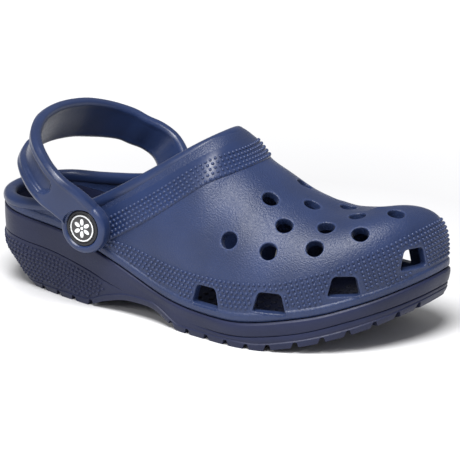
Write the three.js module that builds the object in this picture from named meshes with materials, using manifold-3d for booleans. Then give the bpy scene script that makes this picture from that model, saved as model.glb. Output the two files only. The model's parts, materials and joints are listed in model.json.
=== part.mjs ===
// Foam garden clog for the right foot, with a heel strap that pivots on two rivets.
// Millimetres. +X runs to the toe, +Y to the inner side of the foot, +Z up.
// The origin is under the middle of the clog, on the ground.
import * as THREE from "three";
import { mergeVertices } from "three/addons/utils/BufferGeometryUtils.js";
import Module from "manifold-3d";

const wasm = await Module();
wasm.setup();

// ---- driving dimensions ----
const LENGTH = 290; // heel to toe
const BALL_WIDTH = 117; // across the ball of the foot
const WALL = 5; // thickness of the shell round the foot
const PART_GAP = 0.3; // clearance between pieces that touch
const VENT_DIAMETER = 10.5; // round holes in the top of the vamp
const PIVOT_X = -56; // strap pivot, from the middle of the clog
const PIVOT_Z = 54.5; // strap pivot above the ground
const BOSS_RADIUS = 9.5; // flat land round each rivet on the outside of the shell
const BOSS_STANDOUT = 3.69; // a land's face, from the outline beside it on the outer side
const BOSS_THICKNESS = 8.4; // foam between the two flat faces at a rivet
const STRAP_MIDPLANE_Y = -2; // the heel leans a little to the outer side
const SHANK_RADIUS = 4; // rivet shank
const SHANK_CLEARANCE = 0.3; // radial play of the shank in everything it passes through
const WASHER_THICKNESS = 1.5;
const KNOB_RADIUS = 16; // round end of the strap
const KNOB_THICKNESS = 8.7;
const STRAP_THICKNESS = 7; // across the band
const STUD_HEAD_RADIUS = 11;
const STUD_HEAD_THICKNESS = 2.6;
const STUD_RECESS_DEPTH = 3.2; // how far the stud head is let into the knob
const BADGE_RADIUS = 8.9;
const BADGE_THICKNESS = 1;
const SOCKET_RADIUS = 8.8; // washer-headed socket inside the shoe
const SOCKET_THICKNESS = 4;
const SOCKET_FLOOR = 1.2; // closed end of the socket
const TREAD_DEPTH = 4; // depth of the notches between tread lugs
const NOTCH_WIDTH = 5; // across a notch at the ground
const NOTCH_LENGTH = 15; // of the cutter, square to the edge
const NOTCH_SET_IN = 9; // how much of that lies inside the edge

// ---- mesh resolution ----
const RING_POINTS = 72; // points round the clog, an even number
const DOME_LEVELS = 9;
const ROUND_SIDES = 32;
const VENT_SIDES = 14;

const HALF_LENGTH = LENGTH / 2;
const HALF_WIDTH = BALL_WIDTH / 2;
const OUTER = -1; // outer side of the foot, -Y
const INNER = 1; // inner side of the foot, +Y

// Outline seen from above: [share of the half length, share of the half ball width].
const OUTLINE = [
  [-0.995, 0], [-0.955, -0.41], [-0.838, -0.67], [-0.635, -0.72], [-0.38, -0.79], [-0.1, -0.87],
  [0.155, -0.98], [0.39, -1.035], [0.63, -0.86], [0.815, -0.545], [0.94, -0.15], [1, 0.27],
  [0.975, 0.7], [0.775, 0.9], [0.525, 0.96], [0.25, 0.89], [-0.07, 0.735], [-0.38, 0.715],
  [-0.635, 0.725], [-0.84, 0.675], [-0.96, 0.39],
];

// Heights in mm along the clog: [share of the half length, height].
const SEAM = [
  [-1, 52.9], [-0.76, 47.6], [-0.52, 42.9], [-0.28, 31.9], [0, 18.2], [0.28, 15], [0.62, 21.9],
  [0.83, 31], [1, 41],
];
const GROUND = [
  [-1, 4], [-0.93, 1], [-0.88, 0], [-0.45, 0], [-0.33, 6], [-0.2, 10], [-0.07, 9], [0.08, 0],
  [0.42, 0], [0.56, 3], [0.69, 7.6], [0.86, 16], [1, 25],
];
const FOOTBED = [
  [-1, 30], [-0.8, 26.5], [-0.5, 25], [-0.15, 17.5], [0.15, 12.5], [0.4, 12.5], [0.62, 18],
  [0.8, 25.5], [1, 34],
];
const RIDGE = [
  [-1, 106], [-0.4, 112], [0, 117.5], [0.12, 113.5], [0.2, 100.5], [0.3, 92], [0.4, 83.6],
  [0.5, 77.6], [0.6, 73.8], [0.7, 75.5], [0.8, 82],
];
const RIM = [
  [-1.1, 59], [-0.95, 58.3], [-0.8, 57.9], [-0.65, 59.6], [-0.52, 62.2], [-0.43, 65.8], [-0.34, 73],
  [-0.23, 82.7], [-0.11, 94], [-0.03, 101.9], [0.045, 109.2], [0.1, 114], [0.17, 120], [0.3, 137],
];
// Middle of the foot across the clog, in mm, and how square its cross-section is.
const MIDLINE = [[-1, 0], [-0.38, -2], [0.14, -3.5], [0.41, -3], [0.62, 3], [0.79, 9], [0.9, 15]];
const SQUARENESS = [[-1, 2], [-0.38, 2.1], [0, 2.2], [0.41, 2.2], [0.7, 2.8], [0.9, 3.6]];
const TREAD_INSET = [
  [-1, 29], [-0.92, 23], [-0.8, 13], [-0.65, 6], [-0.45, 2.5], [-0.3, 1.5], [0.8, 1.5], [1, 3],
];
const RIDGE_PULL = 0.25; // share by which the ridge stops short of the heel and the toe

// Smooth curve through points: cubic pieces with the slopes of their neighbours.
function through(points) {
  const slope = points.map((p, i) => {
    const a = points[Math.max(i - 1, 0)];
    const b = points[Math.min(i + 1, points.length - 1)];
    const flat = i > 0 && i < points.length - 1 && (p[1] - a[1]) * (b[1] - p[1]) <= 0;
    return flat ? 0 : (b[1] - a[1]) / (b[0] - a[0]);
  });
  return (t) => {
    const last = points.length - 1;
    if (t <= points[0][0]) return points[0][1];
    if (t >= points[last][0]) return points[last][1];
    const i = points.findIndex((p) => p[0] > t) - 1;
    const run = points[i + 1][0] - points[i][0];
    const u = (t - points[i][0]) / run;
    const rise = points[i + 1][1] - points[i][1];
    const bend = u * (1 - u) * ((1 - u) * (slope[i] * run - rise) - u * (slope[i + 1] * run - rise));
    return points[i][1] + rise * u + bend;
  };
}

const seam = through(SEAM);
const ground = through(GROUND);
const footbed = through(FOOTBED);
const ridge = through(RIDGE);
const rim = through(RIM);
const midline = through(MIDLINE);
const squareness = through(SQUARENESS);
const treadInset = through(TREAD_INSET);

// The outline as pairs of points at the same stations, with the outward direction at each.
function planPoints() {
  const knots = OUTLINE.map(([t, s]) => new THREE.Vector3(t, s, 0));
  const fine = new THREE.CatmullRomCurve3(knots, true, "centripetal").getPoints(1400);
  const xs = fine.map((p) => p.x);
  const back = Math.min(...xs);
  const front = Math.max(...xs);
  const half = RING_POINTS / 2;
  const toe = xs.indexOf(front);
  const sideY = (side, x) => {
    const run = side === OUTER ? fine.slice(0, toe + 1) : fine.slice(toe).reverse();
    const i = Math.min(Math.max(run.findIndex((p) => p.x >= x), 1), run.length - 1);
    const share = (x - run[i - 1].x) / (run[i].x - run[i - 1].x || 1);
    return THREE.MathUtils.lerp(run[i - 1].y, run[i].y, THREE.MathUtils.clamp(share, 0, 1));
  };
  const points = [];
  for (let i = 0; i < RING_POINTS; i++) {
    const k = i <= half ? i : RING_POINTS - i;
    const x = (back + front) / 2 - (Math.cos((Math.PI * k) / half) * (front - back)) / 2;
    const y = sideY(i <= half ? OUTER : INNER, x);
    const t = ((x - back) / (front - back)) * 2 - 1;
    points.push(new THREE.Vector2(t * HALF_LENGTH, y * HALF_WIDTH));
  }
  return points;
}

const PLAN = planPoints();
const OUTWARD = PLAN.map((p, i) => {
  const before = PLAN[(i + RING_POINTS - 1) % RING_POINTS];
  const after = PLAN[(i + 1) % RING_POINTS];
  return new THREE.Vector2(after.y - before.y, before.x - after.x).normalize();
});

// One ring of the clog: the outline moved inwards, at a height that is a function of the station.
function plainRing(inset, height) {
  return PLAN.map((p, i) => {
    const q = p.clone().addScaledVector(OUTWARD[i], -inset(p.x / HALF_LENGTH));
    return new THREE.Vector3(q.x, q.y, height(q.x / HALF_LENGTH));
  });
}

// One ring of the vamp's dome: it closes from the outline towards the ridge as angle grows.
function domeRing(inset, lower, angle) {
  return PLAN.map((p, i) => {
    const q = p.clone().addScaledVector(OUTWARD[i], -inset);
    const t = q.x / HALF_LENGTH;
    const ridgeX = q.x * (1 - RIDGE_PULL * Math.abs(t) ** 3);
    const top = ridge(ridgeX / HALF_LENGTH) - lower;
    const power = 2 / squareness(t);
    const reach = Math.cos(angle) ** power;
    const climb = Math.sin(angle) ** power;
    const x = THREE.MathUtils.lerp(ridgeX, q.x, reach);
    const y = THREE.MathUtils.lerp(midline(ridgeX / HALF_LENGTH), q.y, reach);
    return new THREE.Vector3(x, y, THREE.MathUtils.lerp(seam(t), top, climb));
  });
}

// A closed solid from rings of equal count, each end zipped shut across the ring.
function loft(rings) {
  const count = rings[0].length;
  const position = rings.flat().flatMap((p) => [p.x, p.y, p.z]);
  const index = [];
  for (let k = 0; k < rings.length - 1; k++) {
    for (let i = 0; i < count; i++) {
      const a = k * count + i;
      const b = k * count + ((i + 1) % count);
      index.push(a, b, b + count, a, b + count, a + count);
    }
  }
  const top = (rings.length - 1) * count;
  for (let i = 0; i < count / 2; i++) {
    const [a, b] = [i, i + 1];
    const [c, d] = [(count - i - 1) % count, (count - i) % count];
    if (b !== c) {
      index.push(b, a, c);
      index.push(top + a, top + b, top + c);
    }
    if (a !== d) {
      index.push(a, d, c);
      index.push(top + d, top + a, top + c);
    }
  }
  const geometry = new THREE.BufferGeometry();
  geometry.setAttribute("position", new THREE.Float32BufferAttribute(position, 3));
  geometry.setIndex(index);
  return geometry;
}

function solid(geometry) {
  geometry.deleteAttribute("normal");
  geometry.deleteAttribute("uv");
  const merged = mergeVertices(geometry, 1e-4);
  return new wasm.Manifold(
    new wasm.Mesh({
      numProp: 3,
      vertProperties: merged.attributes.position.array,
      triVerts: new Uint32Array(merged.index.array),
    }),
  );
}

function geometryOf(body) {
  const mesh = body.getMesh();
  const geometry = new THREE.BufferGeometry();
  const position = new THREE.Float32BufferAttribute(mesh.vertProperties, 3);
  geometry.setAttribute("position", position);
  geometry.setIndex([...mesh.triVerts]);
  return geometry;
}

// A cylinder along Y between two distances from the strap's mid-plane, on one side of the clog.
function pivotCylinder(radius, from, to, side, sides = ROUND_SIDES) {
  const geometry = new THREE.CylinderGeometry(radius, radius, to - from, sides);
  const y = STRAP_MIDPLANE_Y + (side * (from + to)) / 2;
  geometry.translate(PIVOT_X, y, PIVOT_Z);
  return solid(geometry);
}

// Everything inside a side-view outline, right across the clog.
function sideSlab(points) {
  const across = BALL_WIDTH * 2;
  const outline = new THREE.Shape(points.map(([x, z]) => new THREE.Vector2(x, z)));
  const geometry = new THREE.ExtrudeGeometry(outline, { depth: across, bevelEnabled: false });
  geometry.rotateX(Math.PI / 2);
  geometry.translate(0, across / 2, 0);
  return solid(geometry);
}

function along(curve, from, to, steps, lift) {
  const points = [];
  for (let i = 0; i <= steps; i++) {
    const t = from + ((to - from) * i) / steps;
    points.push([t * HALF_LENGTH, curve(t) + lift]);
  }
  return points;
}

const BEYOND = 1.2; // stations past both ends of the clog
const FAR = 220; // a height and depth clear of the clog

function belowSeam(lift) {
  const line = along(seam, -BEYOND, BEYOND, 48, lift);
  return sideSlab([[-BEYOND * HALF_LENGTH, -FAR], [BEYOND * HALF_LENGTH, -FAR], ...line.reverse()]);
}

function mouthCutter() {
  const end = RIM[RIM.length - 1][0];
  const line = along(rim, -BEYOND, end, 44, 0);
  return sideSlab([...line, [end * HALF_LENGTH, FAR], [-BEYOND * HALF_LENGTH, FAR]]);
}

function domeRings(inset, lower) {
  const rings = [];
  for (let k = 1; k <= DOME_LEVELS; k++) {
    const angle = (THREE.MathUtils.degToRad(88) * k) / DOME_LEVELS;
    rings.push(domeRing(inset, lower, angle));
  }
  return rings;
}

const BEAD_STANDOFF = 1.2; // the seam is this far inside the fullest part of the sole's edge
const BEAD_BELOW_SEAM = 2.5;
// Edge of the sole below the bead: [share of the tread's inset, mm further in, share of the rise].
const SOLE_EDGE = [[1, 0, 0], [0.72, 0, 0.08], [0.36, 0.2, 0.26], [0, 0.6, 0.54]];

function edgeHeight(rise) {
  return (t) => THREE.MathUtils.lerp(ground(t), seam(t), rise);
}

function outerBody() {
  return solid(
    loft([
      ...SOLE_EDGE.map(([share, further, rise]) =>
        plainRing((t) => share * treadInset(t) + further, edgeHeight(rise))),
      plainRing(() => 0, (t) => seam(t) - BEAD_BELOW_SEAM),
      plainRing(() => BEAD_STANDOFF, seam),
      ...domeRings(BEAD_STANDOFF, 0),
    ]),
  );
}

const FOOTBED_COVE = 11; // reach of the rounded corner where the footbed meets the wall
const COVE_HEIGHT = 5;
const COVE_BELOW_SEAM = 0.6; // the corner ends in the sole, under the seam

// The foot's space: a cupped floor, walls that follow the outline, and the dome's inside.
function footSpace() {
  const inset = BEAD_STANDOFF + WALL;
  const coveTop = (t) => Math.min(footbed(t) + COVE_HEIGHT, seam(t) - COVE_BELOW_SEAM);
  return solid(
    loft([
      plainRing(() => inset + FOOTBED_COVE, footbed),
      plainRing(() => inset + 0.4 * FOOTBED_COVE, (t) => THREE.MathUtils.lerp(footbed(t), coveTop(t), 0.3)),
      plainRing(() => inset, coveTop),
      plainRing(() => inset, seam),
      ...domeRings(inset, WALL),
    ]),
  );
}

// ---- openings in the shell ----
// Vents: [share of the half length, share of the half ball width from the middle of the foot].
const VENTS = [
  [0.28, -0.795], [0.28, 0.761], [0.37, -0.359], [0.385, 0.291], [0.45, -0.769], [0.47, -0.547],
  [0.5, -0.111], [0.5, 0.41], [0.6, 0.154], [0.62, -0.444], [0.62, -0.684], [0.62, 0.581],
  [0.695, -0.171], [0.72, 0.359], [0.765, -0.496], [0.84, -0.137],
];
// Side ports: [side, share of the half length, height of the middle above the seam].
const PORT_HEIGHT = 11.6;
const PORT_WIDTH = 19.5; // along the lower edge
const PORT_TAPER = 3; // a port is this much narrower at the top, on each side
const PORT_CUT = 25; // length of a port cutter, square to the edge
const PORT_SET_IN = 20; // how much of that lies inside the edge
const PORTS = [
  [OUTER, 0.2, 11.4], [OUTER, 0.495, 11.2], [OUTER, 0.765, 13.4], [OUTER, 0.955, 15.5],
  [INNER, 0.2, 11.4], [INNER, 0.48, 11.2], [INNER, 0.73, 13.4], [INNER, 0.915, 15.5],
];

const VENT_CUT = 30; // length of a vent cutter
const VENT_LEAN = 0.9; // 0 drills straight down, 1 square to the surface

function surfacePoint(t, across) {
  const x = t * HALF_LENGTH;
  const y = midline(t) + across;
  const ray = new THREE.Raycaster(new THREE.Vector3(x, y, FAR), new THREE.Vector3(0, 0, -1));
  return ray.intersectObject(domeProbe)[0];
}

const domeProbe = new THREE.Mesh(
  loft([plainRing(() => BEAD_STANDOFF, (t) => seam(t) - 1), ...domeRings(BEAD_STANDOFF, 0)]),
);

function ventCutter([t, across]) {
  const hit = surfacePoint(t, across * HALF_WIDTH);
  const geometry = new THREE.CylinderGeometry(
    VENT_DIAMETER / 2, VENT_DIAMETER / 2, VENT_CUT, VENT_SIDES);
  const upright = new THREE.Vector3(0, 1, 0);
  const lean = new THREE.Vector3(0, 0, 1).lerp(hit.face.normal, VENT_LEAN).normalize();
  geometry.applyQuaternion(new THREE.Quaternion().setFromUnitVectors(upright, lean));
  geometry.translate(hit.point.x, hit.point.y, hit.point.z);
  return solid(geometry);
}

// Where the outline passes a station on one side, and its outward direction there.
function edgeAt(side, t) {
  const half = RING_POINTS / 2;
  let best = side === OUTER ? 1 : half + 1;
  for (let k = 1; k < half; k++) {
    const i = side === OUTER ? k : half + k;
    const miss = Math.abs(PLAN[i].x - t * HALF_LENGTH);
    if (miss < Math.abs(PLAN[best].x - t * HALF_LENGTH)) best = i;
  }
  return { point: PLAN[best], outward: OUTWARD[best] };
}

function portCutter([side, t, rise]) {
  const { point, outward } = edgeAt(side, t);
  const half = PORT_WIDTH / 2;
  const outline = new THREE.Shape([
    new THREE.Vector2(-half, -PORT_HEIGHT / 2),
    new THREE.Vector2(half, -PORT_HEIGHT / 2),
    new THREE.Vector2(half - PORT_TAPER, PORT_HEIGHT / 2),
    new THREE.Vector2(PORT_TAPER - half, PORT_HEIGHT / 2),
  ]);
  const geometry = new THREE.ExtrudeGeometry(outline, { depth: PORT_CUT, bevelEnabled: false });
  geometry.translate(0, 0, -PORT_SET_IN);
  geometry.rotateX(Math.PI / 2);
  geometry.rotateZ(Math.atan2(outward.y, outward.x) + Math.PI / 2);
  geometry.translate(point.x, point.y, seam(t) + rise);
  return solid(geometry);
}

// ---- the two foam mouldings ----
// Stations of the notches on both sides: the heel, then the forefoot and round the toe.
const NOTCHES = [
  -0.8, -0.705, -0.607, -0.51, -0.42, 0.03, 0.117, 0.212, 0.308, 0.403, 0.498, 0.593, 0.69, 0.776,
  0.857, 0.921, 0.967,
];
const TIP_NOTCH = 0.988; // on the inner side only, where the toe is fullest

function treadNotches(side) {
  const cutters = [];
  const shape = new THREE.Shape([
    new THREE.Vector2(-NOTCH_WIDTH / 2, 0),
    new THREE.Vector2(NOTCH_WIDTH / 2, 0),
    new THREE.Vector2(0, TREAD_DEPTH * 2),
  ]);
  for (const t of side === INNER ? [...NOTCHES, TIP_NOTCH] : NOTCHES) {
    const { point, outward } = edgeAt(side, t);
    const geometry = new THREE.ExtrudeGeometry(shape, { depth: NOTCH_LENGTH, bevelEnabled: false });
    geometry.translate(0, 0, -NOTCH_SET_IN);
    geometry.rotateX(Math.PI / 2);
    geometry.rotateZ(Math.atan2(outward.y, outward.x) + Math.PI / 2);
    geometry.translate(point.x, point.y, ground(t) - TREAD_DEPTH);
    cutters.push(solid(geometry));
  }
  return cutters;
}

function soleBody(body) {
  let sole = body.intersect(belowSeam(-PART_GAP / 2));
  for (const cutter of [...treadNotches(OUTER), ...treadNotches(INNER)]) sole = sole.subtract(cutter);
  return sole;
}

const BOSS_FACE = STRAP_MIDPLANE_Y - edgeAt(OUTER, PIVOT_X / HALF_LENGTH).point.y + BOSS_STANDOUT;

function upperBody(body) {
  let upper = body.subtract(belowSeam(PART_GAP / 2)).subtract(mouthCutter());
  for (const side of [OUTER, INNER]) {
    const inside = BOSS_FACE - BOSS_THICKNESS;
    upper = upper.add(pivotCylinder(BOSS_RADIUS, inside, BOSS_FACE, side));
    upper = upper.subtract(pivotCylinder(SOCKET_RADIUS + PART_GAP, inside - WALL * 2, inside, side));
    const bore = SHANK_RADIUS + SHANK_CLEARANCE;
    upper = upper.subtract(pivotCylinder(bore, inside - WALL, BOSS_FACE + WALL, side));
  }
  for (const vent of VENTS) upper = upper.subtract(ventCutter(vent));
  for (const port of PORTS) upper = upper.subtract(portCutter(port));
  return upper;
}

// ---- heel strap ----
const CUT_PAST = 6; // how far a cutter runs past the foam it cuts
const WASHER_FACE = BOSS_FACE + PART_GAP + WASHER_THICKNESS;
const KNOB_INSIDE = WASHER_FACE + PART_GAP;
const KNOB_FACE = KNOB_INSIDE + KNOB_THICKNESS;
const HALF_SPAN = (KNOB_INSIDE + KNOB_FACE) / 2;
const DRAWN_HEEL = 88; // the stations below are drawn for a heel this far behind the pivot
const HEEL_RUN = (PIVOT_X + HALF_LENGTH) / DRAWN_HEEL;

// Half of the band from one knob to the middle of the back:
// [back from the pivot, share of the half span, up from the pivot, half width along X, along Z].
const BAND = [
  [2, 1, 7, 10, 7.5],
  [8, 1.12, 15.3, 9.8, 8.2],
  [16.5, 1.2, 22.6, 9.2, 8.6],
  [25, 1.17, 28.2, 8.6, 9],
  [32.8, 1.08, 32.2, 7.8, 9.6],
  [38.8, 1, 36, 7, 10.4],
  [46, 0.85, 39.4, 6.4, 11.6],
  [52, 0.65, 42.3, 6.2, 12.6],
  [56.5, 0.42, 44.6, 6.4, 13],
  [59.5, 0, 45.8, 6.4, 13.2],
];

function bandStations() {
  const half = BAND.map(([back, share, up, wx, wz]) => ({
    centre: new THREE.Vector3(PIVOT_X - back * HEEL_RUN, -share * HALF_SPAN, PIVOT_Z + up),
    width: new THREE.Vector3(wx, 0, wz),
  }));
  const other = half.slice(0, -1).reverse().map(({ centre, width }) => ({
    centre: new THREE.Vector3(centre.x, -centre.y, centre.z),
    width: width.clone(),
  }));
  return [...half, ...other];
}

const BAND_STEPS = 44;
const CORNER_X = 0.91; // where a corner of the band's section starts, as a share of its half width
const CORNER_Y = 0.4; // and where it ends, as a share of its half thickness

// Band: a rounded flat section carried along a smooth line through the stations.
function bandBody() {
  const stations = bandStations();
  const centres = new THREE.CatmullRomCurve3(stations.map((s) => s.centre));
  const widths = new THREE.CatmullRomCurve3(stations.map((s) => s.width));
  const section = [
    [1, CORNER_Y], [CORNER_X, 1], [-CORNER_X, 1], [-1, CORNER_Y],
    [-1, -CORNER_Y], [-CORNER_X, -1], [CORNER_X, -1], [1, -CORNER_Y],
  ];
  const rings = [];
  for (let i = 0; i <= BAND_STEPS; i++) {
    const centre = centres.getPoint(i / BAND_STEPS);
    const width = widths.getPoint(i / BAND_STEPS);
    const forward = centres.getTangent(i / BAND_STEPS);
    const out = forward.clone().cross(width).normalize().multiplyScalar(STRAP_THICKNESS / 2);
    rings.push(
      section.map(([w, n]) => {
        const p = centre.clone().addScaledVector(width, w).addScaledVector(out, n);
        return p.setY(p.y + STRAP_MIDPLANE_Y);
      }),
    );
  }
  return solid(loft(rings));
}

function strapBody() {
  let strap = bandBody();
  for (const side of [OUTER, INNER]) {
    strap = strap.add(pivotCylinder(KNOB_RADIUS, KNOB_INSIDE, KNOB_FACE, side));
    const clearing = pivotCylinder(KNOB_RADIUS + CUT_PAST, KNOB_INSIDE - 2 * CUT_PAST, KNOB_INSIDE, side);
    strap = strap.subtract(clearing);
    const bore = SHANK_RADIUS + SHANK_CLEARANCE;
    strap = strap.subtract(pivotCylinder(bore, KNOB_INSIDE - CUT_PAST, KNOB_FACE + CUT_PAST, side));
    const recess = STUD_HEAD_RADIUS + PART_GAP;
    const floor = KNOB_FACE - STUD_RECESS_DEPTH;
    strap = strap.subtract(pivotCylinder(recess, floor, KNOB_FACE + 2 * CUT_PAST, side));
  }
  return strap;
}

// ---- rivet pieces, each built for one side ----
function studBody(side) {
  const seat = KNOB_FACE - STUD_RECESS_DEPTH + PART_GAP;
  const tip = BOSS_FACE - BOSS_THICKNESS - SOCKET_THICKNESS + SOCKET_FLOOR;
  const head = pivotCylinder(STUD_HEAD_RADIUS, seat, seat + STUD_HEAD_THICKNESS, side);
  const shank = pivotCylinder(SHANK_RADIUS, tip, seat + STUD_HEAD_THICKNESS / 2, side);
  const pocket = BADGE_RADIUS + PART_GAP;
  const pocketFloor = seat + STUD_HEAD_THICKNESS - BADGE_THICKNESS - PART_GAP;
  return head.add(shank).subtract(pivotCylinder(pocket, pocketFloor, pocketFloor + 9, side));
}

function badgeBody(side) {
  const back = KNOB_FACE - STUD_RECESS_DEPTH + PART_GAP + STUD_HEAD_THICKNESS - BADGE_THICKNESS;
  return pivotCylinder(BADGE_RADIUS, back, back + BADGE_THICKNESS, side);
}

function washerBody(side) {
  const disc = pivotCylinder(BOSS_RADIUS, BOSS_FACE + PART_GAP, WASHER_FACE, side);
  return disc.subtract(
    pivotCylinder(SHANK_RADIUS + SHANK_CLEARANCE, BOSS_FACE - 1, WASHER_FACE + 1, side));
}

function socketBody(side) {
  const seat = BOSS_FACE - BOSS_THICKNESS - PART_GAP;
  const end = seat - SOCKET_THICKNESS;
  const cup = pivotCylinder(SOCKET_RADIUS, end, seat, side);
  const bore = SHANK_RADIUS + SHANK_CLEARANCE;
  return cup.subtract(pivotCylinder(bore, end + SOCKET_FLOOR, seat + 1, side));
}

// ---- assembly ----
const FOAM = new THREE.MeshStandardMaterial({ color: 0x2a3760, roughness: 0.55, metalness: 0 });
const SOLE_FOAM = new THREE.MeshStandardMaterial({ color: 0x262f55, roughness: 0.6, metalness: 0 });
const STUD_PLASTIC = new THREE.MeshStandardMaterial({ color: 0x14161f, roughness: 0.35 });
const BADGE_PRINT = new THREE.MeshStandardMaterial({ color: 0xd9dce0, roughness: 0.4 });

const clog = new THREE.Group();
clog.position.y = -STRAP_MIDPLANE_Y; // the strap is the widest piece, so its middle is the origin's

function place(name, body, material) {
  const mesh = new THREE.Mesh(geometryOf(body), material);
  mesh.name = name;
  clog.add(mesh);
}

const shell = outerBody().subtract(footSpace());
place("sole", soleBody(shell), SOLE_FOAM);
place("upper", upperBody(shell), FOAM);
place("heel_strap", strapBody(), FOAM);
for (const [label, side] of [["outer", OUTER], ["inner", INNER]]) {
  place(`rivet_stud_${label}`, studBody(side), STUD_PLASTIC);
  place(`rivet_badge_${label}`, badgeBody(side), BADGE_PRINT);
  place(`strap_washer_${label}`, washerBody(side), STUD_PLASTIC);
  place(`rivet_socket_${label}`, socketBody(side), STUD_PLASTIC);
}

export default clog;
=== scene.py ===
"""Foam garden clog for the right foot: its finished look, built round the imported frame.

Metres. +X runs to the toe, +Y to the inner side of the foot, +Z up, ground at zero.
"""
import json
from functools import partial
from math import cos, pi, radians, sin

import bmesh
import bpy
import numpy as np
from mathutils import Matrix, Vector
from mathutils.bvhtree import BVHTree
from mathutils.kdtree import KDTree


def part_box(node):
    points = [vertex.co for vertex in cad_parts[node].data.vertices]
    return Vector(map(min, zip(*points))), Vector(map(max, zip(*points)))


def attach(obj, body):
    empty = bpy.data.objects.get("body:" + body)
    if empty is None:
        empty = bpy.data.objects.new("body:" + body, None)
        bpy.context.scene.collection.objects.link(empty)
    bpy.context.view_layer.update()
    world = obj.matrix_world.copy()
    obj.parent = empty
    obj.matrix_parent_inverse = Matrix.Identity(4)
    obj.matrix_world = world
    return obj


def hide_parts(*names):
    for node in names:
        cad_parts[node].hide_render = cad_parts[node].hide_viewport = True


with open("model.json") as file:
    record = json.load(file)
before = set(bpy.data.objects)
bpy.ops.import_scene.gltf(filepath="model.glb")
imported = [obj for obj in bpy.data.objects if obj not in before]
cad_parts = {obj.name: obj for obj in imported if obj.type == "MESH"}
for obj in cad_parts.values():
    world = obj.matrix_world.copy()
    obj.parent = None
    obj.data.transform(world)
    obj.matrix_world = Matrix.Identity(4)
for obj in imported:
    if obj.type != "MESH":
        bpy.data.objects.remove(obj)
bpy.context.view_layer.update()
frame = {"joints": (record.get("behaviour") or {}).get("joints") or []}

MM = 0.001
OUTER, INNER = -1, 1  # sides of the foot: little toe, big toe
CLOG, STRAP = "clog_body", "strap"


# ---- camera ----
VIEW_AZIMUTH = radians(29.93)  # from the outer side, round to the toe
VIEW_ELEVATION = radians(16.51)
VIEW_DISTANCE = 1.2
VIEW_TARGET = Vector((0, 0, 0.045))
VIEW_SLIDE = (11.84 * MM, 0.84 * MM)  # to the right and up
VIEW_NUDGE = Vector((0, 2 * MM, 0))  # of the whole camera, last
VIEW_ROLL = radians(1.2)  # about a line across the heel
ROLL_CENTRE = Vector((-0.075, 0, 0))
LENS = 152.6


def add_camera():
    a, e = VIEW_AZIMUTH, VIEW_ELEVATION
    back = Vector((sin(a) * cos(e), -cos(a) * cos(e), sin(e)))
    right = Vector((cos(a), sin(a), 0))
    up = back.cross(right)
    place = VIEW_TARGET + back * VIEW_DISTANCE + right * VIEW_SLIDE[0] + up * VIEW_SLIDE[1]
    roll = Matrix.Rotation(-VIEW_ROLL, 3, "Y")
    place = roll @ (place - ROLL_CENTRE) + ROLL_CENTRE
    turn = Matrix([roll @ right, roll @ up, roll @ back]).transposed()
    camera = bpy.data.objects.new("camera", bpy.data.cameras.new("camera"))
    camera.data.lens = LENS
    camera.matrix_world = Matrix.Translation(place + VIEW_NUDGE) @ turn.to_4x4()
    bpy.context.scene.collection.objects.link(camera)
    bpy.context.scene.camera = camera


add_camera()


# ---- the clog's form ----
# Outline from above: [share of the half length, share of the half ball width].
OUTLINE = [
    [-0.995, 0], [-0.955, -0.41], [-0.838, -0.67], [-0.635, -0.72], [-0.38, -0.79], [-0.1, -0.87],
    [0.155, -0.98], [0.39, -1.035], [0.63, -0.86], [0.815, -0.545], [0.94, -0.15], [1, 0.27],
    [0.975, 0.7], [0.775, 0.9], [0.525, 0.96], [0.25, 0.89], [-0.07, 0.735], [-0.38, 0.715],
    [-0.635, 0.725], [-0.84, 0.675], [-0.96, 0.39],
]
# Heights along the clog: [share of the half length, mm above the ground].
SEAM = [
    [-1, 52.9], [-0.76, 47.6], [-0.52, 42.9], [-0.28, 31.9], [0, 18.2], [0.28, 15], [0.62, 21.9],
    [0.83, 31], [1, 41],
]
GROUND = [
    [-1, 4], [-0.93, 1], [-0.88, 0], [-0.45, 0], [-0.33, 6], [-0.2, 10], [-0.07, 9], [0.08, 0],
    [0.42, 0], [0.56, 3], [0.69, 7.6], [0.86, 16], [1, 25],
]
FOOTBED = [
    [-1, 30], [-0.8, 26.5], [-0.5, 25], [-0.15, 17.5], [0.15, 12.5], [0.4, 12.5], [0.62, 18],
    [0.8, 25.5], [1, 34],
]
RIDGE = [
    [-1, 106], [-0.4, 112], [0, 117.5], [0.12, 113.5], [0.2, 100.5], [0.3, 92], [0.4, 83.6],
    [0.5, 77.6], [0.6, 73.8], [0.7, 75.5], [0.8, 82],
]
RIM = [
    [-1.1, 59], [-0.95, 58.3], [-0.8, 57.9], [-0.65, 59.6], [-0.52, 62.2], [-0.43, 65.8], [-0.34, 73],
    [-0.23, 82.7], [-0.11, 94], [-0.03, 101.9], [0.045, 109.2], [0.1, 114], [0.17, 120], [0.3, 137],
]
# Upper edge of the dotted heel base, which becomes the lower groove of the forefoot.
LINE = [
    [-1, 35.5], [-0.865, 34.1], [-0.768, 32], [-0.664, 30.3], [-0.558, 27.7], [-0.417, 22.8],
    [-0.318, 18.1], [-0.2, 14.8], [0, 10.6], [0.12, 7.8], [0.28, 6.6], [0.41, 7.8], [0.61, 12.8],
    [0.776, 20.1], [0.916, 26.9], [1, 31.6],
]
MIDLINE = [[-1, 0], [-0.38, -2], [0.14, -3.5], [0.41, -3], [0.62, 3], [0.79, 9], [0.9, 15]]
TREAD_INSET = [
    [-1, 29], [-0.92, 23], [-0.8, 13], [-0.65, 6], [-0.45, 2.5], [-0.3, 1.5], [0.8, 1.5], [1, 3],
]
SQUARENESS = [[-1, 2], [-0.38, 2.1], [0, 2.2], [0.41, 2.2], [0.7, 2.8], [0.9, 3.6]]
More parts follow.
